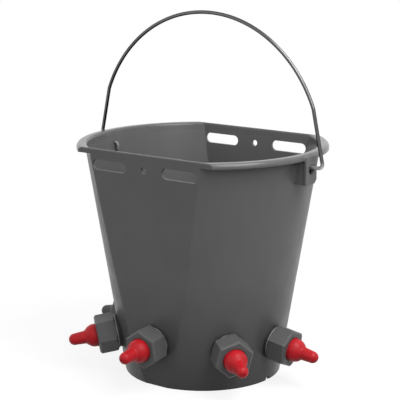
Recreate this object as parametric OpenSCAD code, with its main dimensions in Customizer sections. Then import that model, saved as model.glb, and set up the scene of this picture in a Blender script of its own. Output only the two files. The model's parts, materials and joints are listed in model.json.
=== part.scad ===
// Multi teat lamb feeder: a tapered bucket with two leaning flats, a wire bail
// and a row of valved teats, each clamped through the wall by a hexagonal cap nut.
// Millimetres, +Z up, the origin at the centre of the foot ring on the ground.

/* [Bucket] */
// Height from the ground to the rim
bucket_h = 263; // [220:1:320]
// Outer radius of the round wall at the rim
rim_r = 132.1; // [122:0.1:150]
// Outer radius of the round wall at the foot
base_r = 89.2; // [87:0.1:100]
// Wall thickness
wall_t = 2.8; // [2:0.1:4]
// Height of the floor's underside above the ground
foot_h = 4.5; // [3:0.5:10]
// Floor thickness
floor_t = 3; // [2:0.5:6]
// Width of the drain notch through the foot ring
drain_w = 6; // [3:0.5:12]
// Wall left between the drain notch and the floor
drain_bridge = 1; // [0.5:0.1:2]
// Radius on the rim's inner edge
rim_round = 3.2; // [0.5:0.1:3.4]

/* [Flats] */
// Distance from the centre line to each flat at the rim
flat_top = 109.1; // [104:0.1:112]
// Distance from the centre line to each flat at the foot
flat_base = 88; // [82:0.1:89]
// Radius on the top edges of a flat
flat_round = 0.9; // [0.3:0.1:1]
// Length of each hanging slot
slot_len = 46.8; // [30:0.1:48]
// Height of each hanging slot
slot_h = 11.8; // [6:0.1:16]
// Distance from the middle of a flat to the middle of a slot
slot_x = 47.2; // [38:0.1:50]
// Depth of the slots and the peg hole below the rim
slot_drop = 17.4; // [15:0.1:30]
// Diameter of the peg hole between the slots
peg_hole_d = 7.2; // [4:0.2:14]

/* [Flange] */
// Overhang of the rim flange beyond the round wall
flange_w = 9.1; // [7:0.1:14]
// Thickness of the flange's top
flange_t = 2.6; // [2:0.1:4]
// Height of the flange's downturned lip
lip_h = 6.2; // [4.5:0.1:8]
// Thickness of the lip
lip_t = 2.4; // [2:0.1:4]
// Radius on the flange's outer top edge
lip_round = 4.2; // [1:0.1:4.4]
// Thickness of the web that closes each end of the flange
end_web_t = 2.4; // [1.5:0.1:5]

/* [Bail ears] */
// Width of each ear
ear_w = 21.4; // [18:0.1:34]
// Depth of each ear below the rim
ear_h = 32.7; // [28:0.1:45]
// Thickness of the ear's outer plate
ear_t = 3; // [2:0.1:5]
// How far the outer plate stands beyond the flange
ear_proud = 1; // [0.5:0.1:3]
// Thickness of the ear's side webs
ear_web_t = 2.2; // [1.5:0.1:4]
// Step from the outer plate's edge to a side web
ear_step = 0.8; // [0.5:0.1:3]
// Cut on the lower back corner of the outer plate
ear_cut = 4; // [1:0.5:6]
// Diameter of the hole in an ear's outer plate
ear_hole_d = 10.4; // [6:0.2:14]

/* [Bail] */
// Wire diameter
wire_d = 4; // [3:0.1:5]
// Height of the bail's crown above its pivots
bail_h = 157.6; // [145:0.5:190]
// Depth of the pivots below the rim
pivot_drop = 14.4; // [13.5:0.1:16]
// Gap between the ear's outer plate and the wire's centre line
leg_gap = 9; // [7:0.1:20]
// Bend radius where the crown meets a leg
kink_r = 15; // [8:1:30]
// Bend radius of the hook under each leg
hook_r = 4.5; // [3:0.1:7]
// Bend radius of the tail inside the bucket
tail_r = 4; // [3:0.1:6]
// Depth of the tail's end below the pivots
tail_drop = 8; // [6.5:0.5:14]
// Gap between each tail and the wall
tail_gap = 0.6; // [0.4:0.1:3]
// How far the bow stands to one side of the bucket's middle
bow_shift = 4.2; // [0:0.1:5]
// Gap between the wire and its hole in the wall
pivot_gap = 0.3; // [0.2:0.05:0.6]
// Swell of the wire's radius where it was bent
bend_swell = 0.02; // [0.01:0.01:0.1]

/* [Teat] */
// Height of the teats on the wall
teat_z = 46.3; // [40:0.1:70]
// Diameter of the teat's dome
dome_d = 26; // [22:0.5:27]
// Distance from the nut's face to the middle of the dome
dome_out = 2.5; // [0:0.1:6]
// Radius between the dome and the nipple
neck_r = 4; // [2:0.5:6]
// Diameter of the nipple at the neck
nipple_d = 14.6; // [10:0.1:17]
// Diameter of the nipple's round tip
tip_d = 13.2; // [9:0.1:15]
// Distance from the nut's face to the tip
teat_out = 32.4; // [28:0.1:45]
// Thickness of the dome's wall
dome_t = 2.4; // [1.5:0.1:3.5]
// Diameter of the milk channel in the nipple
channel_d = 5; // [3:0.1:6]
// Diameter of the milk hole in the tip
orifice_d = 1.6; // [1:0.1:2.5]
// Thickness of the brim that the nut clamps
brim_t = 3; // [2:0.1:5]

/* [Cap nut] */
// Thickness of the nut's wall, from its thread to its flats
nut_wall = 4.25; // [2.85:0.05:8]
// Length of the nut
nut_h = 22.4; // [18:0.1:28]
// Bevel round the nut's front face
nut_bevel = 1.9; // [0.5:0.1:3]
// Length of the chamfer on the nut's back corners
nut_chamfer = 1.8; // [1:0.1:4]
// Thickness of the nut's front lip
nut_lip_t = 3.5; // [2:0.1:5]
// Gap between the nut's lip and the dome
dome_gap = 0.25; // [0.1:0.05:0.6]
// Gap between the nut and the spigot's thread
thread_gap = 0.15; // [0.1:0.05:0.3]

/* [Seals] */
// Thickness of the outer seal at its middle
seal_t = 2.4; // [1.5:0.1:4]
// Width of the outer seal round the spigot
seal_w = 3.2; // [1.7:0.1:3.7]
// Thickness of the inner seal at its middle
inner_seal_t = 3.2; // [2.8:0.1:5]
// Width of the inner seal round the spigot
inner_seal_w = 3.2; // [1.7:0.1:4.2]
// Thickness of the slip washer
washer_t = 1; // [0.6:0.1:2]
// Width of the slip washer round the spigot
washer_w = 3.7; // [1.7:0.1:3.9]
// Gap between a seal and the wall it beds on
bed_gap = 0.05; // [0.02:0.01:0.1]

/* [Valve] */
// Diameter of the spigot that passes through the wall
spigot_d = 30; // [28.5:0.1:38]
// Thickness of the spigot's tube in front of the ball stop
spigot_wall = 4; // [2.5:0.1:6]
// Gap round the spigot in the wall, the seals and the washer
spigot_gap = 0.3; // [0.1:0.05:0.6]
// Width of the spigot's collar inside the bucket
collar_w = 5; // [4.5:0.1:8]
// Thickness of the collar
collar_t = 4; // [3:0.1:7]
// Diameter of each grip notch in the collar's edge
notch_d = 6; // [3:0.5:8]
// Ball diameter
ball_d = 9.5; // [8:0.1:10.5]
// Travel of the ball
ball_travel = 5; // [3:0.1:7]
// Gap left between the ball and its seat or stop
ball_gap = 0.3; // [0.2:0.05:0.5]
// Diameter of the ball chamber
chamber_d = 12; // [11.3:0.1:14]
// Thickness of the ball stop
stop_t = 3; // [2:0.1:4]
// Width of the crossed ports through the ball stop
port_w = 3; // [2:0.1:4.5]
// Diameter of the ball seat
seat_d = 18; // [16:0.1:22]
// Thickness of the ball seat
seat_t = 3.2; // [2:0.1:3.8]
// Diameter of the milk hole in the seat
seat_hole_d = 6.5; // [4:0.1:7.2]
// Gap between the seat and its pocket
seat_gap = 0.05; // [0.02:0.01:0.1]

/* [Hidden] */
// Directions of the teats round the bucket, the front flat facing -90
teat_angles = [178, -135, -89.4, -38, 0];
// Height of each teat as a share of teat_z
teat_height_shares = [0.99, 1, 1.108, 1.06, 1];
// Turn of each nut from a corner at the top
nut_turns = [12, 21.8, 4.9, -11.5, 6.7];
// Angle that the crown of the bail spans on each side of its top
crown_angle = 68;
// Bend between the crown and a leg
kink_angle = 10;
// Grip notches round a collar
notch_count = 6;
// Overrun of every cut
overrun = 1;
// Steps in a drawn arc
arc_steps = 8;
// Gap between two runs of wire inside the swell that joins them
run_gap = 0.1;
$fn = 96;
// Facets of the large round wall
wall_fn = 256;

grey = [0.34, 0.34, 0.35];
black = [0.1, 0.1, 0.1];
red = [0.8, 0.12, 0.15];
dull = [0.3, 0.3, 0.31];
steel = [0.62, 0.63, 0.65];
milky = [0.86, 0.86, 0.84];
// Rubber colour of each teat
teat_colours = [dull, red, red, red, red];

// Lean of the round wall and of the flats from the vertical
wall_lean = atan2(rim_r - base_r, bucket_h);
flat_lean = atan2(flat_top - flat_base, bucket_h);
// Outer radius of the round wall and distance of a flat at a height
function wall_r(z) = base_r + (rim_r - base_r) * z / bucket_h;
function flat_d(z) = flat_base + (flat_top - flat_base) * z / bucket_h;
// Points of an arc about c
function arc(c, r, from, to) = [for (i = [0:arc_steps])
    let (a = from + (to - from) * i / arc_steps) c + r * [cos(a), sin(a)]];

floor_top = foot_h + floor_t;
drain_h = foot_h - drain_bridge;
wall_step = wall_t / cos(wall_lean);
flat_step = wall_t / cos(flat_lean);
flange_r = rim_r + flange_w;
lip_z = bucket_h - lip_h;
slot_z = bucket_h - slot_drop;
slot_end_x = (slot_len - slot_h) / 2;

ear_x = flange_r + ear_proud;
ear_z = bucket_h - ear_h;
pivot_z = bucket_h - pivot_drop;
pin_hole_d = wire_d + 2 * pivot_gap;
ear_hole_z = pivot_z + pin_hole_d / 2 - ear_hole_d / 2;

// Wire path of half the bail, from the crown down to the tail
leg_angle = crown_angle + kink_angle;
hook_angle = 180 - leg_angle;
leg_x = ear_x + leg_gap - hook_r * (1 - sin(leg_angle));
kink_x = kink_r * (sin(leg_angle) - sin(crown_angle));
kink_fall = kink_r * (cos(crown_angle) - cos(leg_angle));
leg_fall = bail_h - kink_fall - hook_r * (1 + cos(leg_angle));
crown_r = (leg_x - kink_x - leg_fall / tan(leg_angle))
    / (sin(crown_angle) - (1 - cos(crown_angle)) / tan(leg_angle));
leg_len = (leg_fall - crown_r * (1 - cos(crown_angle))) / sin(leg_angle);
tail_x = wall_r(pivot_z - tail_drop) - wall_step - tail_gap - wire_d / 2;
// Length of the pin under a leg that stands further out by a shift
function pin_len(shift) = leg_x + shift - hook_r * sin(leg_angle) - tail_x - tail_r;

// Stations along a teat's axis, from the wall's outer face outwards
washer_u = seal_t;
nut_u = washer_u + washer_t;
nut_face_u = nut_u + nut_h;
brim_u = nut_face_u - nut_lip_t - brim_t;
collar_u = -wall_t - inner_seal_t;
inlet_u = collar_u - collar_t;
seat_u = inlet_u + seat_t;
ball_shut_u = seat_u + sqrt(pow(ball_d, 2) - pow(seat_hole_d, 2)) / 2 + ball_gap;
ball_u = ball_shut_u + ball_travel;
stop_u = ball_u + ball_d / 2 + ball_gap;
mouth_u = stop_u + stop_t;

// Diameters that follow the spigot's
sleeve_d = spigot_d + 2 * spigot_gap;
seal_d = sleeve_d + 2 * seal_w;
inner_seal_d = sleeve_d + 2 * inner_seal_w;
washer_d = sleeve_d + 2 * washer_w;
collar_d = spigot_d + 2 * collar_w;
bore_d = spigot_d + 2 * thread_gap;
nut_af = bore_d + 2 * nut_wall;
brim_d = spigot_d - 2 * spigot_gap;

// A teat on a flat keeps the flat's own direction and lean
teat_count = len(teat_angles);
function height(i) = teat_z * teat_height_shares[i - 1];
function angle(i) = teat_angles[i - 1];
function on_flat(i) = flat_d(height(i)) < wall_r(height(i)) * abs(sin(angle(i)));
function reach(i) = on_flat(i) ? flat_d(height(i)) / abs(sin(angle(i))) : wall_r(height(i));
function facing(i) = on_flat(i) ? 90 * sign(sin(angle(i))) : angle(i);
function lean(i) = on_flat(i) ? flat_lean : wall_lean;

TEAT_PIECES = ["cap_nut", "teat", "valve_body", "valve_seat", "valve_ball",
    "inner_seal", "outer_seal", "slip_washer"];

// Solid round wall, taken in by a horizontal step
module cone(step) {
    rise = bucket_h + 2 * overrun;
    translate([0, 0, -overrun])
        cylinder(h = rise, r1 = wall_r(-overrun) - step, r2 = wall_r(bucket_h + overrun) - step,
            $fn = wall_fn);
}

// Space between the two flats, taken in by a horizontal step
module between_flats(step, outline_top) {
    foot_d = flat_d(-overrun) - step;
    side = concat([[foot_d, -overrun]], outline_top);
    rotate([90, 0, 90])
        linear_extrude(height = 2 * ear_x, center = true)
            polygon(concat(side, [for (i = [len(side) - 1:-1:0]) [-side[i][0], side[i][1]]]));
}

module outside_flats() {
    centre = [flat_top - flat_round, bucket_h - flat_round];
    between_flats(0, arc(centre, flat_round, 0, 90));
}

module inside_flats() {
    centre = [flat_top - flat_step + flat_round, bucket_h - flat_round];
    flare = arc(centre, flat_round, 180, 90);
    between_flats(flat_step, concat(flare, [[centre[0], bucket_h + overrun]]));
}

// Space inside the bucket, with the rim's inner edge rounded
module inside_wall() {
    centre = [rim_r - wall_step + rim_round, bucket_h - rim_round];
    intersection() {
        rotate_extrude()
            polygon(concat(
                [[0, floor_top], [wall_r(floor_top) - wall_step, floor_top]],
                arc(centre, rim_round, 180, 90),
                [[centre[0], bucket_h + overrun], [0, bucket_h + overrun]]));
        inside_flats();
    }
}

// Rim flange with its lip, closed at the flats by end webs
module flange() {
    root_r = rim_r - wall_t;
    shoulder = [flange_r - lip_round, bucket_h - lip_round];
    intersection() {
        difference() {
            rotate_extrude()
                polygon(concat([[root_r, lip_z], [flange_r, lip_z]], arc(shoulder, lip_round, 0, 90),
                    [[root_r, bucket_h]]));
            intersection() {
                rotate_extrude()
                    translate([root_r - overrun, lip_z - overrun])
                        square([flange_r - lip_t - root_r + overrun, lip_h - flange_t + overrun]);
                between_flats(end_web_t, [[flat_d(bucket_h + overrun) - end_web_t, bucket_h + overrun]]);
            }
        }
        outside_flats();
    }
}

// Box under the flange for the bail, open at the bottom
module ear() {
    half = ear_w / 2;
    top = bucket_h - lip_round / 2;
    root_x = wall_r(ear_z) - wall_step;
    translate([ear_x - ear_t, 0, 0])
        rotate([90, 0, 90])
            linear_extrude(height = ear_t)
                polygon([[-half, top], [-half, ear_z], [half - ear_cut, ear_z],
                    [half, ear_z + ear_cut], [half, top]]);
    // Side webs, the back one shorter by the cut
    for (web = [[ear_step - half, ear_z], [half - ear_step - ear_web_t, ear_z + ear_cut]])
        translate([root_x, web[0], web[1]])
            cube([ear_x - ear_t - root_x, ear_web_t, bucket_h - flange_t - web[1]]);
}

// Round bar along Y through both flats
module flat_bore(x, d) {
    translate([x, 0, slot_z])
        rotate([90, 0, 0])
            cylinder(h = 2 * ear_x, d = d, center = true);
}

module flat_openings() {
    flat_bore(0, peg_hole_d);
    for (side = [-1, 1]) {
        for (end = [-1, 1])
            flat_bore(side * slot_x + end * slot_end_x, slot_h);
        translate([side * slot_x, 0, slot_z])
            cube([2 * slot_end_x, 2 * ear_x, slot_h], center = true);
    }
}

module bucket() {
    color(grey) difference() {
        union() {
            intersection() {
                cone(0);
                outside_flats();
                translate([-flange_r, -flange_r, 0]) cube([2 * flange_r, 2 * flange_r, bucket_h]);
            }
            flange();
            for (side = [0, 1]) mirror([side, 0, 0]) ear();
        }
        inside_wall();
        flat_openings();
        // Hollow under the floor
        intersection() {
            cone(wall_step);
            between_flats(flat_step, [[flat_d(foot_h) - flat_step, foot_h]]);
        }
        // Drain notch
        translate([0, -drain_w / 2, -overrun])
            cube([flange_r, drain_w, drain_h + overrun]);
        // Holes for the bail, close in the wall and wide in the ears
        for (side = [0, 1])
            mirror([side, 0, 0]) {
                translate([tail_x, 0, pivot_z])
                    rotate([0, 90, 0])
                        cylinder(h = ear_x - ear_t - tail_x, d = pin_hole_d);
                translate([ear_x - ear_t - overrun, 0, ear_hole_z])
                    rotate([0, 90, 0])
                        cylinder(h = ear_t + 2 * overrun, d = ear_hole_d);
            }
        // Holes for the teats
        for (i = [1:teat_count])
            on_wall(i) translate([0, 0, collar_u])
                cylinder(h = overrun - collar_u, d = sleeve_d);
    }
}

// Swell that joins two runs of wire and rounds its ends
module swell() {
    sphere(d = wire_d + 2 * bend_swell);
}

// Straight wire along Z, then what follows it
module straight(run) {
    translate([0, 0, run_gap]) cylinder(h = run - 2 * run_gap, d = wire_d);
    translate([0, 0, run]) {
        swell();
        children();
    }
}

// Wire that starts along Z and bends towards X, then what follows it
module bend(r, turn) {
    gap_angle = run_gap / r * 180 / PI;
    translate([r, 0, 0])
        rotate([90, 0, 180])
            rotate([0, 0, gap_angle])
                rotate_extrude(angle = turn - 2 * gap_angle)
                    translate([r, 0]) circle(d = wire_d);
    translate([r * (1 - cos(turn)), 0, r * sin(turn)])
        rotate([0, turn, 0]) {
            swell();
            children();
        }
}

module half_bail(shift) {
    rotate([0, 90, 0])
        bend(crown_r, crown_angle)
            bend(kink_r, kink_angle)
                straight(leg_len)
                    bend(hook_r, hook_angle)
                        straight(pin_len(shift))
                            rotate([0, 0, 180])
                                bend(tail_r, 90)
                                    straight(tail_drop - tail_r);
}

module bail() {
    color(steel) translate([bow_shift, 0, pivot_z + bail_h]) {
        swell();
        for (side = [0, 1]) mirror([side, 0, 0]) half_bail((1 - 2 * side) * bow_shift);
    }
}

// Frame of a teat: Z along its axis outwards, X down the wall
module on_wall(i) {
    translate([reach(i) * cos(angle(i)), reach(i) * sin(angle(i)), height(i)])
        rotate([0, 90 + lean(i), facing(i)]) children();
}

module ring(from, to, outer_d, inner_d) {
    translate([0, 0, from])
        difference() {
            cylinder(h = to - from, d = outer_d);
            translate([0, 0, -overrun]) cylinder(h = to - from + 2 * overrun, d = inner_d);
        }
}

// Hexagonal block with corners on X, its front bevelled
module hex_block() {
    half = nut_af / 2;
    slab = [[-half, 0], [half, 0], [half, nut_h - nut_bevel], [half - nut_bevel, nut_h],
        [nut_bevel - half, nut_h], [-half, nut_h - nut_bevel]];
    intersection_for (turn = [30, 90, 150])
        rotate([0, 0, turn])
            rotate([90, 0, 0])
                linear_extrude(height = 2 * nut_af, center = true) polygon(slab);
}

module cap_nut(i) {
    corner_r = nut_af / 2 / cos(30);
    color(grey) on_wall(i) translate([0, 0, nut_u]) difference() {
        intersection() {
            rotate([0, 0, nut_turns[i - 1]]) hex_block();
            union() {
                cylinder(h = nut_chamfer, r1 = nut_af / 2, r2 = corner_r);
                translate([0, 0, nut_chamfer]) cylinder(h = nut_h, r = corner_r + overrun);
            }
        }
        translate([0, 0, -overrun]) cylinder(h = nut_h - nut_lip_t + overrun, d = bore_d);
        cylinder(h = nut_h + overrun, d = dome_d + 2 * dome_gap);
    }
}

// Rubber teat, its outline drawn from the nut's face
module teat(i) {
    dome_r = dome_d / 2;
    cavity_r = dome_r - dome_t;
    nipple_r = nipple_d / 2;
    tip_r = tip_d / 2;
    channel_r = channel_d / 2;
    orifice_r = orifice_d / 2;
    brim_front = -nut_lip_t;
    brim_back = brim_front - brim_t;
    neck_v = dome_out + sqrt(pow(dome_r + neck_r, 2) - pow(nipple_r + neck_r, 2));
    neck_angle = atan2(neck_v - dome_out, nipple_r + neck_r);
    tip_v = teat_out - tip_r;
    orifice_v = tip_v + sqrt(pow(tip_r, 2) - pow(orifice_r, 2));
    channel_v = dome_out + sqrt(pow(cavity_r, 2) - pow(channel_r, 2));
    outer = concat(
        [[brim_d / 2, brim_back], [brim_d / 2, brim_front], [dome_r, brim_front]],
        arc([0, dome_out], dome_r, 0, neck_angle),
        arc([nipple_r + neck_r, neck_v], neck_r, 180 + neck_angle, 180),
        arc([0, tip_v], tip_r, 0, acos(orifice_r / tip_r)));
    inner = concat(
        [[orifice_r, tip_v + channel_r], [channel_r, tip_v]],
        arc([0, dome_out], cavity_r, acos(channel_r / cavity_r), 0),
        [[cavity_r, brim_back]]);
    color(teat_colours[i - 1]) on_wall(i) translate([0, 0, nut_face_u])
        rotate_extrude() polygon(concat(outer, inner));
}

// Spigot with a collar inside the bucket, a ball chamber and a ball stop
module valve_body(i) {
    color(grey) on_wall(i) difference() {
        union() {
            translate([0, 0, inlet_u]) cylinder(h = collar_t, d = collar_d);
            translate([0, 0, inlet_u]) cylinder(h = brim_u - inlet_u, d = spigot_d);
        }
        translate([0, 0, inlet_u - overrun]) cylinder(h = seat_t + overrun, d = seat_d);
        translate([0, 0, inlet_u]) cylinder(h = stop_u - inlet_u, d = chamber_d);
        translate([0, 0, mouth_u]) cylinder(h = brim_u - mouth_u + overrun, d = spigot_d - 2 * spigot_wall);
        for (turn = [0, 90])
            rotate([0, 0, turn])
                translate([-chamber_d / 2, -port_w / 2, stop_u - overrun])
                    cube([chamber_d, port_w, stop_t + 2 * overrun]);
        for (k = [1:notch_count])
            rotate([0, 0, 360 * k / notch_count])
                translate([(collar_d + notch_d / 2) / 2, 0, inlet_u - overrun])
                    cylinder(h = collar_t + 2 * overrun, d = notch_d);
    }
}

module valve_seat(i) {
    color(milky) on_wall(i) ring(inlet_u, seat_u, seat_d - 2 * seat_gap, seat_hole_d);
}

module valve_ball(i) {
    color(steel) on_wall(i) translate([0, 0, ball_u]) sphere(d = ball_d);
}

// Seal inside the bucket, shaped to the wall
module inner_seal(i) {
    color(black) intersection() {
        on_wall(i) ring(collar_u, 0, inner_seal_d, sleeve_d);
        cone(wall_step + bed_gap);
        between_flats(flat_step + bed_gap,
            [[flat_d(bucket_h) - flat_step - bed_gap, bucket_h]]);
    }
}

// Seal outside the bucket, shaped to the wall
module outer_seal(i) {
    color(black) difference() {
        on_wall(i) ring(collar_u, washer_u, seal_d, sleeve_d);
        intersection() {
            cone(-bed_gap);
            between_flats(-bed_gap, [[flat_d(bucket_h) + bed_gap, bucket_h]]);
        }
    }
}

module slip_washer(i) {
    color(milky) on_wall(i) ring(washer_u, nut_u, washer_d, sleeve_d);
}

bucket();
bail();
for (i = [1:teat_count]) {
    cap_nut(i);
    teat(i);
    valve_body(i);
    valve_seat(i);
    valve_ball(i);
    inner_seal(i);
    outer_seal(i);
    slip_washer(i);
}
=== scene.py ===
"""Looks of the multi teat lamb feeder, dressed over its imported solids.

Lengths are in metres, in the frame of the solids. The nuts, teats and bail are remade with rounded edges and
finer curves where their solids lie, and every piece gets a procedural material.
"""

import json
import math

import bpy
from mathutils import Matrix, Vector


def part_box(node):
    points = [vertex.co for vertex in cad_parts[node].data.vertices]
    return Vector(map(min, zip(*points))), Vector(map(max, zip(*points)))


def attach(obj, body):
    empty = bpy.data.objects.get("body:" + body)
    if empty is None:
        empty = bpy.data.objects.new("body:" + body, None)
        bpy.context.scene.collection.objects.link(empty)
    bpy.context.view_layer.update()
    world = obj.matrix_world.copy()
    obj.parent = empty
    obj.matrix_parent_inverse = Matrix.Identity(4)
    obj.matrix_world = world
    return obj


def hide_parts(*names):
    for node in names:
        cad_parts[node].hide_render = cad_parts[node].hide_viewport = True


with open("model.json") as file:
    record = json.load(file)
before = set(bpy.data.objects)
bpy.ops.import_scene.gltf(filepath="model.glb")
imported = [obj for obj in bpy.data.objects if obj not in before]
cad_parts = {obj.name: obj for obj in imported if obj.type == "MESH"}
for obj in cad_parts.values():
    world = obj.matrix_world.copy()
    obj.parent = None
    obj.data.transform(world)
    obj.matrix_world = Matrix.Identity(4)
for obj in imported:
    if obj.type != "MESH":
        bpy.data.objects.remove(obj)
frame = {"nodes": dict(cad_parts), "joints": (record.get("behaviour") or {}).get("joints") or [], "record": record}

MM = 0.001
SHARP_ANGLE = math.radians(40)
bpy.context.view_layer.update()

# Camera, fitted to the photograph
TARGET = Vector((0, 0, 195.05 * MM))
AZIMUTH = math.radians(35.8)
ELEVATION = math.radians(12.32)
DISTANCE = 1.54
LENS_MM = 122.6
SENSOR_MM = 36
SIDE_STEP = 3.2 * MM

# Studio: each lamp's name, place, size and power
FLOOR_RINGS = (0.0, 0.5, 1.0, 1.6)
FLOOR_SIDES = 96
FLOOR_FADE = (0.3, 1.0)
FLOOR_PAINT = (0.125, 0.135)
FLOOR_LIFT = 0.83
SKY, GROUND = 1.15, 0.3
HORIZON = 0.2
LAMPS = (
    ("key", (0.45, -0.06, 0.98), 0.5, 6.5),
    ("side", (0.63, -0.25, 0.66), 0.5, 3.3),
    ("fill", (-1.4, -1.9, 1.0), 1.6, 4),
)

# Bucket: heights between which its shading changes, and radii that its edges are shaded to
ABOVE_FOOT = (8 * MM, 20 * MM)
BELOW_SLOTS = (228 * MM, 205 * MM)
AT_RIM = (253 * MM, 256 * MM)
# Heights over which the bucket's colour darkens towards the foot: painted shade
PAINTED_SHADE_HEIGHTS = (15 * MM, 140 * MM)
EDGE_R = 1 * MM
FLAT_EDGE_R = 7 * MM
RIM_EDGE_R = 1.2 * MM
RIM_POLISH = 0.2

# Stations that a teat's pieces share, outwards from the wall's face
TEATS = (1, 2, 3, 4, 5)
BALL_STATION = 1.964 * MM
NUT_STATION = 3.4 * MM
NUT_FACE_STATION = 25.8 * MM

# Cap nut
NUT_HALF = 19.4 * MM
NUT_TURNS = (12, 21.8, 4.9, -11.5, 6.7)
NUT_BEVEL = 1.9 * MM
NUT_CHAMFER = 1.8 * MM
NUT_LIP = 3.5 * MM
NUT_BORE_R = 15.15 * MM
NUT_MOUTH_R = 13.25 * MM
NUT_CORNER_R = 0.7 * MM
NUT_EDGE_R = 0.45 * MM

# Teat
DOME_R = 13 * MM
DOME_OUT = 2.5 * MM
NECK_R = 4 * MM
NIPPLE_R = 7.3 * MM
TIP_R = 6.6 * MM
TEAT_OUT = 32.4 * MM
BRIM_R = 14.7 * MM
BRIM_T = 3 * MM
CAVITY_R = 10.6 * MM
CHANNEL_R = 2.5 * MM
ORIFICE_R = 0.8 * MM
ORIFICE_EDGE_R = 0.35 * MM
TEAT_SIDES = 72
GREY_TEAT = 1

# Bail wire, rubbed bright between two distances from each end
WIRE_R = 2 * MM
WIRE_SIDES = 20
WIRE_RUB = 40 * MM
WIRE_TAIL = 10 * MM
WIRE_FADE = 6 * MM
BAIL_H = 157.6 * MM
PIVOT_Z = 248.6 * MM
CROWN_ANGLE = math.radians(68)
KINK_ANGLE = math.radians(10)
KINK_R = 15 * MM
HOOK_R = 4.5 * MM
TAIL_R = 4 * MM
TAIL_DROP = 8 * MM
LEG_FOOT_X = 151.2 * MM
TAIL_X = 123.009 * MM
BOW_SHIFT = 4.2 * MM

# Colours
BUCKET_GREY = (0.075, 0.075, 0.0762)
NUT_GREY = (0.068, 0.0685, 0.0695)
VALVE_GREY = (0.075, 0.075, 0.077)
SEAT_WHITE = (0.7, 0.7, 0.66)
WASHER_WHITE = (0.25, 0.25, 0.243)
TEAT_RED = (0.31, 0.005, 0.009)
TEAT_GREY = (0.06, 0.06, 0.061)
SEAL_BLACK = (0.014, 0.014, 0.015)
WIRE_STEEL = (0.115, 0.116, 0.118)
WIRE_EDGE = (0.02, 0.02, 0.02, 1)
BALL_STEEL = (0.6, 0.61, 0.63)


# Shared mesh making


def add_piece(name, node, verts, faces, material):
    """New smooth piece that stands for a CAD node and rides on the node's body."""
    mesh = bpy.data.meshes.new(name)
    mesh.from_pydata(verts, [], faces)
    mesh.validate()
    mesh.shade_smooth()
    mesh.set_sharp_from_angle(angle=SHARP_ANGLE)
    mesh.materials.append(material)
    piece = bpy.data.objects.new(name, mesh)
    bpy.context.collection.objects.link(piece)
    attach(piece, body_of(node))
    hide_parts(node)
    return piece


def body_of(node):
    """Name of the body that carries a CAD node."""
    bodies = frame["record"]["behaviour"]["bodies"]
    return next(body for body, nodes in bodies.items() if node in nodes)


def bridge(count, size, closed):
    """Quads between rings of a size, from the first ring to the last, and back to the first if closed."""
    faces = []
    for ring in range(count if closed else count - 1):
        here, there = ring * size, (ring + 1) % count * size
        for i in range(size):
            j = (i + 1) % size
            faces.append((here + i, here + j, there + j, there + i))
    return faces


def arc(centre, radius, start, end, steps):
    """Points (r, u) of an arc, from one angle to another in degrees."""
    turns = [math.radians(start + (end - start) * k / steps) for k in range(steps + 1)]
    return [(centre[0] + radius * math.cos(t), centre[1] + radius * math.sin(t)) for t in turns]


def teat_frame(i):
    """Frame of a teat: Z along its axis outwards, X down the wall, its origin on the wall's face."""
    axis = next(Vector(j["axis"]) for j in frame["joints"] if j["name"] == f"ball_{i}_slide")
    low, high = (Vector(corner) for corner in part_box(f"valve_ball_{i}"))
    down = Vector((0, 0, -1))
    x = (down - axis * down.dot(axis)).normalized()
    turn = Matrix((x, axis.cross(x), axis)).transposed().to_4x4()
    return Matrix.Translation((low + high) / 2 - axis * BALL_STATION) @ turn


# Cap nuts


def hexagon_angles():
    """Angles round a nut, close together at its rounded corners, from degrees off each corner."""
    steps = (-22, -14, -7, -3, -1.2, -0.8, -0.5, -0.25, 0, 0.25, 0.5, 0.8, 1.2, 3, 7, 14, 22, 30)
    return [math.radians(60 * corner + step) for corner in range(6) for step in steps]


def hexagon_reach(half, angle):
    """Distance from the centre to the edge of a hexagon with rounded corners at each 60 degrees."""
    sector = math.radians(60)
    off = abs((angle + sector / 2) % sector - sector / 2)
    flat = half / math.cos(sector / 2 - off)
    corner = (half - NUT_CORNER_R) / math.cos(sector / 2)
    side = corner * math.sin(off)
    if side >= NUT_CORNER_R:
        return flat
    return min(flat, corner * math.cos(off) + math.sqrt(NUT_CORNER_R**2 - side**2))


def softer(a, b, blend):
    """The lesser of two lengths, blended where they meet."""
    share = max(0, min(1, 0.5 + 0.5 * (b - a) / blend))
    return b + (a - b) * share - blend * share * (1 - share)


def nut_rings():
    """Rings (half width or radius, height, hexagonal) round a nut's section, from the bore's back edge."""
    height = NUT_FACE_STATION - NUT_STATION
    shoulder, face = height - NUT_BEVEL, NUT_HALF - NUT_BEVEL
    bend = NUT_EDGE_R * math.tan(math.radians(22.5))
    back = [(NUT_BORE_R, NUT_EDGE_R, False), (NUT_BORE_R + NUT_EDGE_R, 0, False)]
    wall = [(NUT_HALF, NUT_CHAMFER * share, True) for share in (0, 0.15, 0.3, 0.5, 0.7, 0.9, 1.1)]
    wall += [(NUT_HALF, height / 2, True)]
    upper = arc((NUT_HALF - NUT_EDGE_R, shoulder - bend), NUT_EDGE_R, 0, 45, 3)
    lower = arc((face - bend, height - NUT_EDGE_R), NUT_EDGE_R, 45, 90, 3)
    front = [(r, u, True) for r, u in upper + lower]
    mouth = arc((NUT_MOUTH_R + NUT_EDGE_R, height - NUT_EDGE_R), NUT_EDGE_R, 90, 180, 4)
    inside = [(NUT_MOUTH_R, height - NUT_LIP), (NUT_BORE_R, height - NUT_LIP)]
    return back + wall + front + [(r, u, False) for r, u in mouth + inside]


def nut_reach(size, height, hexagonal, angle):
    """Radius of a nut's ring at an angle, its corners cut by the chamfer at the wall's end."""
    if not hexagonal:
        return size
    corner = NUT_HALF / math.cos(math.radians(30))
    cone = NUT_HALF + (corner - NUT_HALF) * height / NUT_CHAMFER
    return softer(hexagon_reach(size, angle), cone, NUT_EDGE_R)


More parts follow.
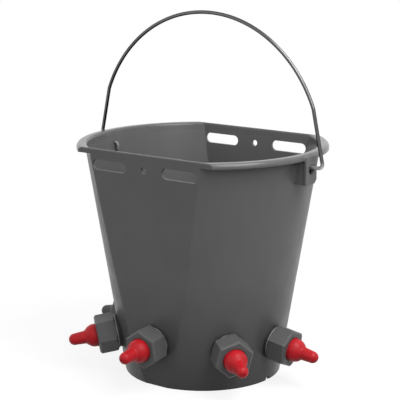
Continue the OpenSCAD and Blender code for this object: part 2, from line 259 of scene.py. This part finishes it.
def make_nut(i, material):
    place = teat_frame(i) @ Matrix.Translation((0, 0, NUT_STATION))
    place = place @ Matrix.Rotation(math.radians(NUT_TURNS[i - 1]), 4, "Z")
    angles, rings = hexagon_angles(), nut_rings()
    verts = []
    for size, height, hexagonal in rings:
        for angle in angles:
            r = nut_reach(size, height, hexagonal, angle)
            verts.append(place @ Vector((r * math.cos(angle), r * math.sin(angle), height)))
    faces = bridge(len(rings), len(angles), True)
    piece = add_piece(f"nut_{i}", f"cap_nut_{i}", verts, faces, material)
    weight = piece.modifiers.new("flat faces", "WEIGHTED_NORMAL")
    weight.keep_sharp = True


# Teats


def teat_outline():
    """Closed outline (r, u) of a teat's section, from the brim's back, drawn from the nut's face."""
    front, back = -NUT_LIP, -NUT_LIP - BRIM_T
    neck_u = DOME_OUT + math.sqrt((DOME_R + NECK_R) ** 2 - (NIPPLE_R + NECK_R) ** 2)
    neck = math.degrees(math.atan2(neck_u - DOME_OUT, NIPPLE_R + NECK_R))
    tip_u = TEAT_OUT - TIP_R
    lip = ORIFICE_R + ORIFICE_EDGE_R
    lip_turn = math.degrees(math.acos(lip / (TIP_R - ORIFICE_EDGE_R)))
    lip_u = tip_u + math.sqrt((TIP_R - ORIFICE_EDGE_R) ** 2 - lip**2)
    mouth = math.degrees(math.acos(CHANNEL_R / CAVITY_R))
    outside = [(BRIM_R, back), (BRIM_R, front), (DOME_R, front)]
    outside += arc((0, DOME_OUT), DOME_R, 0, neck, 20)
    outside += arc((NIPPLE_R + NECK_R, neck_u), NECK_R, 180 + neck, 180, 10)
    outside += arc((0, tip_u), TIP_R, 0, lip_turn, 16)
    outside += arc((lip, lip_u), ORIFICE_EDGE_R, lip_turn, 180, 5)
    inside = [(ORIFICE_R, tip_u + CHANNEL_R), (CHANNEL_R, tip_u)]
    inside += arc((0, DOME_OUT), CAVITY_R, mouth, 0, 12)
    return outside + inside + [(CAVITY_R, back)]


def make_teat(i, material, slot):
    place = teat_frame(i) @ Matrix.Translation((0, 0, NUT_FACE_STATION))
    outline = teat_outline()
    turns = [2 * math.pi * k / TEAT_SIDES for k in range(TEAT_SIDES)]
    verts = [place @ Vector((r * math.cos(t), r * math.sin(t), u)) for r, u in outline for t in turns]
    faces = bridge(len(outline), TEAT_SIDES, True)
    add_piece(f"rubber_teat_{i}", f"teat_{i}", verts, faces, material)


# Bail


def half_bail(shift):
    """Points and headings of half the wire in the XZ plane, from its crown's top to the tail's end.

    The leg stands further out by a shift, which its pin makes up for.
    """
    leg = CROWN_ANGLE + KINK_ANGLE
    leg_x = LEG_FOOT_X - HOOK_R * (1 - math.sin(leg))
    kink_x = KINK_R * (math.sin(leg) - math.sin(CROWN_ANGLE))
    kink_fall = KINK_R * (math.cos(CROWN_ANGLE) - math.cos(leg))
    fall = BAIL_H - kink_fall - HOOK_R * (1 + math.cos(leg))
    slope = math.tan(leg)
    crown_fall = 1 - math.cos(CROWN_ANGLE)
    crown_r = (leg_x - kink_x - fall / slope) / (math.sin(CROWN_ANGLE) - crown_fall / slope)
    leg_len = (fall - crown_r * crown_fall) / math.sin(leg)
    pin_len = leg_x + shift - HOOK_R * math.sin(leg) - TAIL_X - TAIL_R
    # Each run's length or bend radius, its turn and its steps
    runs = (
        (crown_r, CROWN_ANGLE, 44), (KINK_R, KINK_ANGLE, 6), (leg_len, 0, 8), (HOOK_R, math.pi - leg, 14),
        (pin_len, 0, 4), (TAIL_R, -math.pi / 2, 12), (TAIL_DROP - TAIL_R, 0, 2),
    )
    at, heading = Vector((0, 0, PIVOT_Z + BAIL_H)), 0.0
    path = [(at.copy(), heading)]
    for size, turn, steps in runs:
        for _ in range(steps):
            step = 2 * size * math.sin(abs(turn) / steps / 2) if turn else size / steps
            heading += turn / steps / 2
            at = at + step * Vector((math.cos(heading), 0, -math.sin(heading)))
            heading += turn / steps / 2
            path.append((at.copy(), heading))
    return path


def half_wire(shift):
    """Points, ways and radii of half the wire, with the tail's end rounded off."""
    half = [(at, Vector((math.cos(h), 0, -math.sin(h))), WIRE_R) for at, h in half_bail(shift)]
    tip, way, _ = half[-1]
    turns = [math.pi / 2 * k / 6 for k in range(1, 7)]
    return half + [(tip + way * WIRE_R * math.sin(t), way, WIRE_R * math.cos(t)) for t in turns]


def bail_path():
    """Points, ways and radii of the whole wire, from the tail at -X to the tail at +X."""
    flip, shift = Vector((-1, 1, 1)), Vector((BOW_SHIFT, 0, 0))
    left = [(at * flip, -(way * flip), r) for at, way, r in half_wire(-BOW_SHIFT)[:0:-1]]
    return [(at + shift, way, r) for at, way, r in left + half_wire(BOW_SHIFT)]


def make_bail(material):
    path, across = bail_path(), Vector((0, 1, 0))
    verts, drawn, along, before = [], [], 0.0, path[0][0]
    for at, way, r in path:
        out = across.cross(way)
        along += (at - before).length
        before = at
        for k in range(WIRE_SIDES):
            t = 2 * math.pi * k / WIRE_SIDES
            verts.append(at + r * (math.cos(t) * out + math.sin(t) * across))
            drawn.append((along, WIRE_R * math.cos(t), WIRE_R * math.sin(t)))
    faces = bridge(len(path), WIRE_SIDES, False)
    piece = add_piece("bail_wire", "bail", verts, faces, material)
    wire = piece.data.attributes.new("wire", "FLOAT_VECTOR", "POINT")
    wire.data.foreach_set("vector", [value for point in drawn for value in point])
    end = piece.data.attributes.new("end", "FLOAT", "POINT")
    end.data.foreach_set("value", [min(point[0], along - point[0]) for point in drawn])


# Materials


class Look:
    """A material in the making, with short ways to add and join its nodes."""

    def __init__(self, name, **sockets):
        self.material = bpy.data.materials.new(name)
        self.material.use_nodes = True
        self.tree = self.material.node_tree
        self.shader = self.tree.nodes["Principled BSDF"]
        for socket, value in sockets.items():
            self.shader.inputs[socket.replace("_", " ")].default_value = value
        self.coords = self.add("TexCoord").outputs["Object"]

    def add(self, kind, **inputs):
        """New node; each input gets a value or another node's output."""
        node = self.tree.nodes.new(f"ShaderNode{kind}")
        for name, value in inputs.items():
            self.put(value, node.inputs[name.replace("_", " ")])
        return node

    def put(self, value, socket):
        if isinstance(value, bpy.types.NodeSocket):
            self.tree.links.new(value, socket)
        else:
            socket.default_value = value

    def stored(self, name):
        """Node that reads a value stored on the mesh."""
        node = self.add("Attribute")
        node.attribute_name = name
        return node

    def stretched(self, coords, scale):
        """Coordinates with each axis scaled."""
        return self.add("Mapping", Vector=coords, Scale=scale).outputs["Vector"]

    def noise(self, size, detail=2.0, coords=None, roughness=0.5):
        """Noise from 0 to 1 with features of a size."""
        coords = self.coords if coords is None else coords
        node = self.add("TexNoise", Vector=coords, Scale=1 / size, Detail=detail, Roughness=roughness)
        return node.outputs["Fac"]

    def ranged(self, value, start, end, low=0.0, high=1.0):
        """A value's stretch from start to end, mapped to low and high and held there."""
        node = self.add("MapRange", Value=value)
        for name, number in (("From Min", start), ("From Max", end), ("To Min", low), ("To Max", high)):
            node.inputs[name].default_value = number
        return node.outputs["Result"]

    def math(self, operation, a, b):
        node = self.add("Math")
        node.operation = operation
        self.put(a, node.inputs[0])
        self.put(b, node.inputs[1])
        return node.outputs["Value"]

    def tone(self, colour, factor):
        """A colour times a factor."""
        node = self.add("VectorMath")
        node.operation = "SCALE"
        self.put(colour, node.inputs["Vector"])
        self.put(factor, node.inputs["Scale"])
        return node.outputs["Vector"]

    def rounded(self, radius):
        """Normal with the edges rounded by a radius."""
        bevel = self.add("Bevel", Radius=radius)
        bevel.samples = 8
        return bevel.outputs["Normal"]

    def edges(self, rounded):
        """Mask of the edges that a rounded normal turns over, 1 where they are sharp."""
        facing = self.add("VectorMath")
        facing.operation = "DOT_PRODUCT"
        self.put(rounded, facing.inputs[0])
        self.put(self.add("NewGeometry").outputs["Normal"], facing.inputs[1])
        return self.ranged(facing.outputs["Value"], 0.995, 0.9)

    def bump(self, height, depth, normal=None):
        """Normal raised by a height of a depth, on top of another normal."""
        node = self.add("Bump", Height=height, Distance=depth, Strength=1.0)
        if normal is not None:
            self.put(normal, node.inputs["Normal"])
        return node.outputs["Normal"]

    def finish(self, colour=None, roughness=None, normal=None):
        for name, value in (("Base Color", colour), ("Roughness", roughness), ("Normal", normal)):
            if value is not None:
                self.put(value, self.shader.inputs[name])
        return self.material


def moulded(look, colour, roughness, edge_r, polish=0.0):
    """Moulded plastic: clouds, flow streaks, fine scratches, rounded and rubbed edges, and a satin grain."""
    rounded = look.rounded(edge_r)
    cloud = look.ranged(look.noise(45 * MM, 3), 0.3, 0.7, 0.96, 1.04)
    streaks = look.noise(9 * MM, 3, look.stretched(look.coords, (1, 1, 0.12)))
    flow = look.ranged(streaks, 0.3, 0.7, 0.975, 1.025)
    fleck = look.ranged(look.noise(0.9 * MM, 2), 0.35, 0.65, 0.97, 1.03)
    scratch = look.noise(1.1 * MM, 4, look.stretched(look.coords, (1, 1, 0.03)), 0.6)
    scratched = look.ranged(scratch, 0.66, 0.74)
    rubbed = look.math("MULTIPLY", look.edges(rounded), look.ranged(look.noise(7 * MM, 3), 0.35, 0.6))
    worn = look.math("ADD", look.math("MULTIPLY", rubbed, 0.35), look.math("MULTIPLY", scratched, 0.08))
    shade = look.math("MULTIPLY", look.math("MULTIPLY", cloud, flow), fleck)
    shade = look.math("MULTIPLY", shade, look.math("ADD", worn, 1.0))
    gloss = look.ranged(look.noise(18 * MM, 4), 0.3, 0.7, roughness - 0.05, roughness + 0.05)
    gloss = look.math("ADD", gloss, look.math("MULTIPLY", worn, 0.25))
    gloss = look.math("SUBTRACT", gloss, polish)
    peel = look.bump(look.noise(14 * MM, 1), 0.06 * MM, rounded)
    grain = look.bump(look.noise(0.4 * MM, 2), 0.012 * MM, peel)
    return look.finish(look.tone(colour, shade), gloss, grain)


def bucket_plastic():
    """Moulded plastic, its flats running softly into the wall, polished at the rim, and its colour darkened
    towards the foot as painted shade.
    """
    look = Look("bucket grey", IOR=1.49, Specular_IOR_Level=0.25)
    height = look.add("SeparateXYZ", Vector=look.coords).outputs["Z"]
    body = look.math("MULTIPLY", look.ranged(height, *ABOVE_FOOT), look.ranged(height, *BELOW_SLOTS))
    rim = look.ranged(height, *AT_RIM)
    edge_r = look.ranged(body, 0, 1, EDGE_R, FLAT_EDGE_R)
    edge_r = look.math("ADD", edge_r, look.math("MULTIPLY", rim, RIM_EDGE_R))
    # Painted shade: the colour falls to about half towards the foot, along a height with a noisy edge
    shade_height = look.math("ADD", height, look.math("MULTIPLY", look.noise(60 * MM, 3), 30 * MM))
    colour = look.tone(BUCKET_GREY, look.ranged(shade_height, *PAINTED_SHADE_HEIGHTS, 0.48, 1))
    return moulded(look, colour, 0.38, edge_r, look.math("MULTIPLY", rim, RIM_POLISH))


def nut_plastic():
    look = Look("nut grey", IOR=1.49, Specular_IOR_Level=0.22)
    return moulded(look, NUT_GREY, 0.4, 0.5 * MM)


def valve_plastic():
    look = Look("valve grey", IOR=1.49, Specular_IOR_Level=0.4)
    return moulded(look, VALVE_GREY, 0.5, 0.7 * MM)


def seat_plastic():
    look = Look("seat white", IOR=1.49, Specular_IOR_Level=0.45)
    return moulded(look, SEAT_WHITE, 0.4, 0.5 * MM)


def washer_plastic():
    look = Look("washer white", IOR=1.5, Specular_IOR_Level=0.4)
    return moulded(look, WASHER_WHITE, 0.5, 0.4 * MM)


def teat_rubber(name, colour):
    """Soft rubber: faint bloom, fine mould texture and a dull gloss."""
    look = Look(name, IOR=1.5, Specular_IOR_Level=0.2, Subsurface_Weight=0.12, Subsurface_Scale=2 * MM,
                Subsurface_Radius=(1, 0.25, 0.15))
    cloud = look.ranged(look.noise(11 * MM, 3), 0.3, 0.7, 0.93, 1.06)
    bloom = look.ranged(look.noise(1.6 * MM, 4), 0.45, 0.75, 1.0, 1.12)
    shade = look.math("MULTIPLY", cloud, bloom)
    gloss = look.ranged(look.noise(6 * MM, 4), 0.3, 0.7, 0.4, 0.52)
    soft = look.bump(look.noise(5 * MM, 2), 0.08 * MM)
    grain = look.bump(look.noise(0.5 * MM, 3), 0.02 * MM, soft)
    return look.finish(look.tone(colour, shade), gloss, grain)


def seal_rubber():
    """Dull black rubber with a dusty bloom."""
    look = Look("seal black", IOR=1.5, Specular_IOR_Level=0.3)
    dust = look.ranged(look.noise(3 * MM, 5), 0.4, 0.75, 0.9, 1.5)
    gloss = look.ranged(look.noise(4 * MM, 3), 0.3, 0.7, 0.62, 0.78)
    grain = look.bump(look.noise(0.35 * MM, 3), 0.03 * MM)
    return look.finish(look.tone(SEAL_BLACK, dust), gloss, grain)


def bail_steel():
    """Dark drawn wire: die lines, a slight tarnish, and rubbed bright where it turns in the ears."""
    look = Look("drawn steel", Metallic=1.0, Specular_Tint=WIRE_EDGE)
    coords = look.stored("wire").outputs["Vector"]
    end = look.stored("end").outputs["Fac"]
    rubbed = look.ranged(end, WIRE_RUB + WIRE_FADE, WIRE_RUB)
    tail = look.ranged(end, WIRE_TAIL + WIRE_FADE, WIRE_TAIL)
    lines = look.noise(0.35 * MM, 3, look.stretched(coords, (0.01, 1, 1)), 0.6)
    tarnish = look.noise(9 * MM, 5, look.stretched(coords, (0.35, 1, 1)), 0.65)
    drawn, dulled = look.ranged(lines, 0.3, 0.7, 0.86, 1.1), look.ranged(tarnish, 0.3, 0.7, 0.82, 1.1)
    shade = look.math("MULTIPLY", drawn, dulled)
    shade = look.math("MULTIPLY", shade, look.ranged(rubbed, 0, 1, 1, 3.75))
    shade = look.math("MULTIPLY", shade, look.ranged(tail, 0, 1, 1, 0.6))
    scored, rough = look.ranged(lines, 0.3, 0.7, 0.14, 0.2), look.ranged(tarnish, 0.35, 0.7, 0.0, 0.08)
    gloss = look.math("ADD", scored, rough)
    gloss = look.math("ADD", gloss, look.math("MULTIPLY", rubbed, 0.22))
    gloss = look.math("ADD", gloss, look.math("MULTIPLY", tail, 0.3))
    draw = look.bump(lines, 0.006 * MM)
    return look.finish(look.tone(WIRE_STEEL, shade), gloss, draw)


def ball_steel():
    """Polished steel with hairline marks."""
    look = Look("polished steel", Metallic=1.0)
    marks = look.noise(0.5 * MM, 4, look.stretched(look.coords, (1, 0.1, 1)), 0.6)
    shade = look.ranged(marks, 0.3, 0.7, 0.93, 1.05)
    gloss = look.ranged(marks, 0.35, 0.7, 0.1, 0.2)
    return look.finish(look.tone(BALL_STEEL, shade), gloss, look.bump(marks, 0.004 * MM))


# Studio


def add_camera():
    level = Vector((math.sin(AZIMUTH), -math.cos(AZIMUTH), 0))
    back = level * math.cos(ELEVATION) + Vector((0, 0, math.sin(ELEVATION)))
    right = Vector((math.cos(AZIMUTH), math.sin(AZIMUTH), 0))
    data = bpy.data.cameras.new("camera")
    data.sensor_width, data.lens = SENSOR_MM, LENS_MM
    camera = bpy.data.objects.new("camera", data)
    camera.location = TARGET + back * DISTANCE - right * SIDE_STEP
    camera.rotation_mode = "QUATERNION"
    camera.rotation_quaternion = (-back).to_track_quat("-Z", "Y")
    bpy.context.collection.objects.link(camera)
    bpy.context.scene.camera = camera


def seen_or_mirrored(tree):
    """1 for what the camera sees, also in a mirror or through glass."""
    path = tree.nodes.new("ShaderNodeLightPath")
    seen = path.outputs["Is Camera Ray"]
    for kind in ("Is Glossy Ray", "Is Transmission Ray"):
        either = tree.nodes.new("ShaderNodeMath")
        either.operation = "MAXIMUM"
        tree.links.new(seen, either.inputs[0])
        tree.links.new(path.outputs[kind], either.inputs[1])
        seen = either.outputs["Value"]
    return seen


def add_floor():
    """Pale round floor that fades into the white surround."""
    turns = [2 * math.pi * k / FLOOR_SIDES for k in range(FLOOR_SIDES)]
    verts = [(r * math.cos(t), r * math.sin(t), 0) for r in FLOOR_RINGS for t in turns]
    mesh = bpy.data.meshes.new("floor")
    mesh.from_pydata(verts, [], bridge(len(FLOOR_RINGS), FLOOR_SIDES, False))
    mesh.materials.append(floor_paint())
    floor = bpy.data.objects.new("floor", mesh)
    bpy.context.collection.objects.link(floor)


def floor_paint():
    look = Look("floor", Specular_IOR_Level=0.0, Roughness=0.9)
    reach = look.add("VectorMath")
    reach.operation = "LENGTH"
    look.put(look.coords, reach.inputs[0])
    fade = look.ranged(reach.outputs["Value"], *FLOOR_FADE)
    paint = look.ranged(look.noise(50 * MM, 4), 0.3, 0.7, *FLOOR_PAINT)
    look.put(look.tone((1, 1, 1), paint), look.shader.inputs["Base Color"])
    lift = look.add("Emission", Color=(1, 1, 1, 1))
    look.put(look.math("MULTIPLY", seen_or_mirrored(look.tree), FLOOR_LIFT), lift.inputs["Strength"])
    lit = look.add("AddShader")
    look.put(look.shader.outputs["BSDF"], lit.inputs[0])
    look.put(lift.outputs["Emission"], lit.inputs[1])
    clear = look.add("BsdfTransparent")
    mixed = look.add("MixShader", Fac=fade)
    look.put(lit.outputs["Shader"], mixed.inputs[1])
    look.put(clear.outputs["BSDF"], mixed.inputs[2])
    look.put(mixed.outputs["Shader"], look.tree.nodes["Material Output"].inputs["Surface"])
    return look.material


def add_lamps():
    for name, place, size, power in LAMPS:
        data = bpy.data.lights.new(name, "AREA")
        data.shape, data.size, data.energy = "DISK", size, power
        lamp = bpy.data.objects.new(name, data)
        lamp.location = place
        lamp.rotation_mode = "QUATERNION"
        lamp.rotation_quaternion = (TARGET - lamp.location).to_track_quat("-Z", "Y")
        bpy.context.collection.objects.link(lamp)


def add_world():
    """White surround for the camera and reflections, and a soft light on the object, stronger from above."""
    world = bpy.data.worlds.new("studio")
    world.use_nodes = True
    bpy.context.scene.world = world
    nodes, links = world.node_tree.nodes, world.node_tree.links
    soft = nodes["Background"]
    soft.inputs["Color"].default_value = (1, 1, 1, 1)
    split = nodes.new("ShaderNodeSeparateXYZ")
    links.new(nodes.new("ShaderNodeTexCoord").outputs["Generated"], split.inputs["Vector"])
    level = nodes.new("ShaderNodeMapRange")
    for name, number in (("From Min", -HORIZON), ("From Max", HORIZON), ("To Min", GROUND), ("To Max", SKY)):
        level.inputs[name].default_value = number
    links.new(split.outputs["Z"], level.inputs["Value"])
    links.new(level.outputs["Result"], soft.inputs["Strength"])
    white = nodes.new("ShaderNodeBackground")
    white.inputs["Color"].default_value = (1, 1, 1, 1)
    mixed = nodes.new("ShaderNodeMixShader")
    links.new(seen_or_mirrored(world.node_tree), mixed.inputs["Fac"])
    links.new(soft.outputs["Background"], mixed.inputs[1])
    links.new(white.outputs["Background"], mixed.inputs[2])
    links.new(mixed.outputs["Shader"], nodes["World Output"].inputs["Surface"])


# The whole scene


def dress(nodes, material):
    """Puts a material on CAD nodes."""
    for node in nodes:
        for slot in frame["nodes"][node].material_slots:
            slot.material = material


def build():
    add_camera()
    dress(["bucket"], bucket_plastic())
    nut = nut_plastic()
    red = (teat_rubber("teat red", TEAT_RED), "teat_rubber")
    grey = (teat_rubber("teat grey", TEAT_GREY), "grey_rubber")
    for i in TEATS:
        make_nut(i, nut)
        make_teat(i, *(grey if i == GREY_TEAT else red))
    make_bail(bail_steel())
    seals = seal_rubber()
    looks = {
        "valve_body": valve_plastic(), "valve_seat": seat_plastic(), "valve_ball": ball_steel(),
        "slip_washer": washer_plastic(), "inner_seal": seals, "outer_seal": seals,
    }
    for kind, material in looks.items():
        dress([f"{kind}_{i}" for i in TEATS], material)
    add_floor()
    add_lamps()
    add_world()
    bpy.context.scene.view_settings.view_transform = "Standard"


build()
